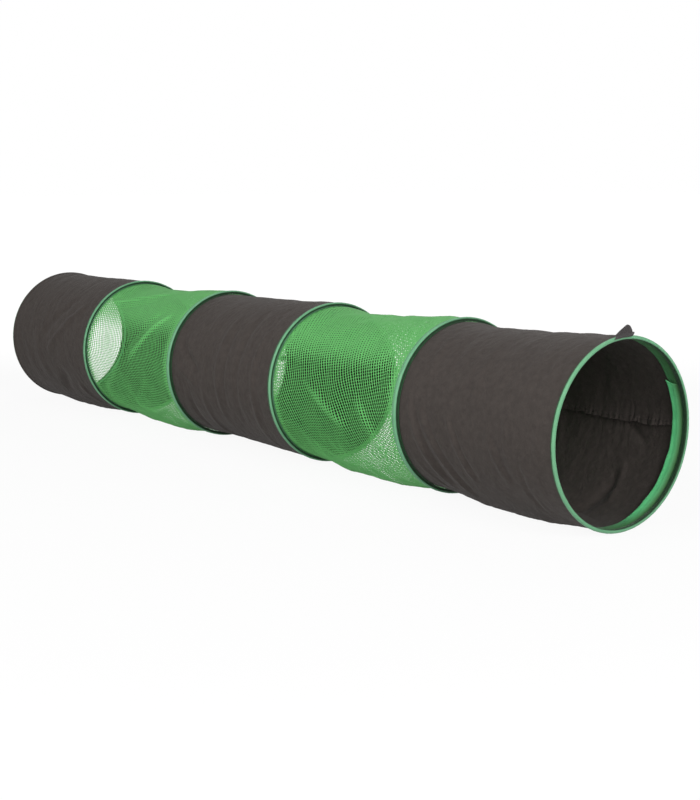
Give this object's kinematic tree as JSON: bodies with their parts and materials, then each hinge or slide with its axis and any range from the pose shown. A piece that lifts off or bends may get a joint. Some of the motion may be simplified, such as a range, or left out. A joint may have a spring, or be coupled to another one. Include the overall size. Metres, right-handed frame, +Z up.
{
  "type": "rabbit tunnel",
  "caption": "Collapsible play tunnel for rabbits: black cloth and green net sections sewn between wire hoops with green binding, open at both ends.",
  "frame": {"origin": "on the floor, below the middle of the tunnel standing open", "axes": "+X along the tunnel to its front mouth, +Z up"},
  "size_m": [1.8, 0.3, 0.3159],
  "materials": {
    "black_cloth": "matt plain-weave polyester, softly creased",
    "green_net": "knitted open net with small oval holes",
    "green_tape": "woven binding tape, slightly satin",
    "black_ribbon": "ribbed polyester ribbon",
    "spring_wire": "drawn spring steel",
    "crimped_sleeve": "crimped, dull"
  },
  "bodies": {
    "hoop_1": {"front_binding": "green_tape", "hoop_wire_1": "spring_wire", "wire_ferrule_1": "crimped_sleeve", "carry_loop": "black_ribbon", "front_cloth": "black_cloth"},
    "hoop_2": {"seam_binding_2": "green_tape", "hoop_wire_2": "spring_wire", "wire_ferrule_2": "crimped_sleeve", "front_net": "green_net"},
    "hoop_3": {"seam_binding_3": "green_tape", "hoop_wire_3": "spring_wire", "wire_ferrule_3": "crimped_sleeve", "middle_cloth": "black_cloth"},
    "hoop_4": {"seam_binding_4": "green_tape", "hoop_wire_4": "spring_wire", "wire_ferrule_4": "crimped_sleeve", "rear_net": "green_net"},
    "hoop_5": {"seam_binding_5": "green_tape", "hoop_wire_5": "spring_wire", "wire_ferrule_5": "crimped_sleeve", "rear_cloth": "black_cloth"},
    "hoop_6": {"rear_binding": "green_tape", "hoop_wire_6": "spring_wire", "wire_ferrule_6": "crimped_sleeve"}
  },
  "joints": [
    {"name": "front_cloth_close", "type": "slide", "parent": "hoop_1", "child": "hoop_2", "axis": [1, 0, 0], "range_m": [0, 0.3418], "deforming": ["front_cloth"]},
    {"name": "front_net_close", "type": "slide", "parent": "hoop_2", "child": "hoop_3", "axis": [1, 0, 0], "range_m": [0, 0.3418], "deforming": ["front_net"]},
    {"name": "middle_cloth_close", "type": "slide", "parent": "hoop_3", "child": "hoop_4", "axis": [1, 0, 0], "range_m": [0, 0.3418], "deforming": ["middle_cloth"]},
    {"name": "rear_net_close", "type": "slide", "parent": "hoop_4", "child": "hoop_5", "axis": [1, 0, 0], "range_m": [0, 0.3418], "deforming": ["rear_net"]},
    {"name": "rear_cloth_close", "type": "slide", "parent": "hoop_5", "child": "hoop_6", "axis": [1, 0, 0], "range_m": [0, 0.3418], "deforming": ["rear_cloth"]}
  ]
}
